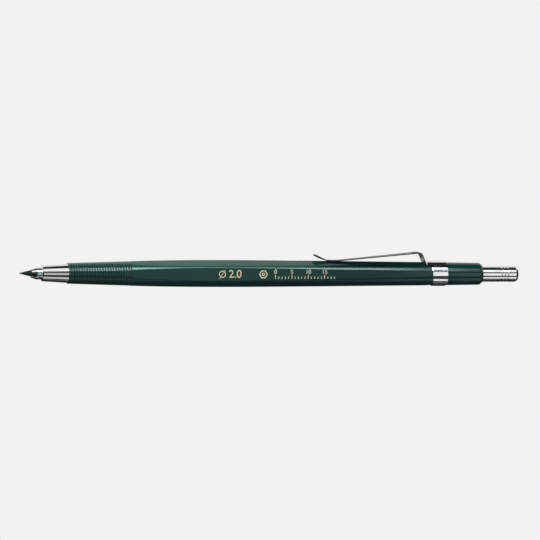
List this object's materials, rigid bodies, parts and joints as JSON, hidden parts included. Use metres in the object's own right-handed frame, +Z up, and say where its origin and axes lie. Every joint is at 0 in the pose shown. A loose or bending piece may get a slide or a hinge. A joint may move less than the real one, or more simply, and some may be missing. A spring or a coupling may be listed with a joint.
{
  "type": "lead holder",
  "caption": "Slim faceted clutch pencil with a grooved grip, a slotted collet holding a graphite lead, a sprung pocket clip and a push button that opens the jaws.",
  "frame": {"origin": "on the barrel flat that the pencil lies on, midway along the pencil's length", "axes": "+X from the lead's point to the push button, +Y to the pocket clip, +Z up from the flat it lies on"},
  "size_m": [0.152, 0.0104, 0.0073],
  "materials": {
    "barrel_plastic": "polished dark green",
    "chrome": "polished",
    "brass": "turned",
    "spring_steel": "drawn wire",
    "graphite": "sharpened graphite",
    "gold_foil": "hot-stamped foil"
  },
  "bodies": {
    "barrel": {"barrel": "barrel_plastic", "nose_bush": "brass", "nose_sleeve": "chrome", "return_spring": "spring_steel", "clip_band": "chrome"},
    "clutch": {"collet_body": "chrome", "lead_tube": "brass", "spring_collar": "brass", "push_button": "chrome"},
    "jaw_a": {"collet_jaw_a": "chrome"},
    "jaw_b": {"collet_jaw_b": "chrome"},
    "jaw_c": {"collet_jaw_c": "chrome"},
    "lead": {"lead": "graphite"},
    "clip_arm": {"clip_arm": "chrome"}
  },
  "joints": [
    {"name": "button_press", "type": "slide", "parent": "barrel", "child": "clutch", "axis": [-1, 0, 0], "range_m": [0, 0.004], "stiffness_N_per_m": 600, "springref_m": -0.005, "deforming": ["return_spring"]},
    {"name": "jaw_a_spread", "type": "hinge", "parent": "clutch", "child": "jaw_a", "pos_m": [-0.058, 0.00113, 0.00406], "axis": [0, 0.342, -0.9397], "range_deg": [0, 2.4]},
    {"name": "jaw_b_spread", "type": "hinge", "parent": "clutch", "child": "jaw_b", "pos_m": [-0.058, -0.00092, 0.00442], "axis": [0, 0.6428, 0.766], "range_deg": [0, 2.4]},
    {"name": "jaw_c_spread", "type": "hinge", "parent": "clutch", "child": "jaw_c", "pos_m": [-0.058, -0.00021, 0.00247], "axis": [0, -0.9848, 0.1736], "range_deg": [0, 2.4]},
    {"name": "lead_feed", "type": "slide", "parent": "clutch", "child": "lead", "axis": [-1, 0, 0], "range_m": [-0.004, 0.012]},
    {"name": "clip_flex", "type": "hinge", "parent": "barrel", "child": "clip_arm", "pos_m": [0.0483, 0.00385, 0.00365], "axis": [0, 0, -1], "range_deg": [0, 4], "stiffness_Nm_per_rad": 2, "springref_deg": -1.15}
  ],
  "couplings": [
    {"joint": "jaw_a_spread", "follows": "button_press", "rad_per_m": 10.47},
    {"joint": "jaw_b_spread", "follows": "button_press", "rad_per_m": 10.47},
    {"joint": "jaw_c_spread", "follows": "button_press", "rad_per_m": 10.47}
  ]
}
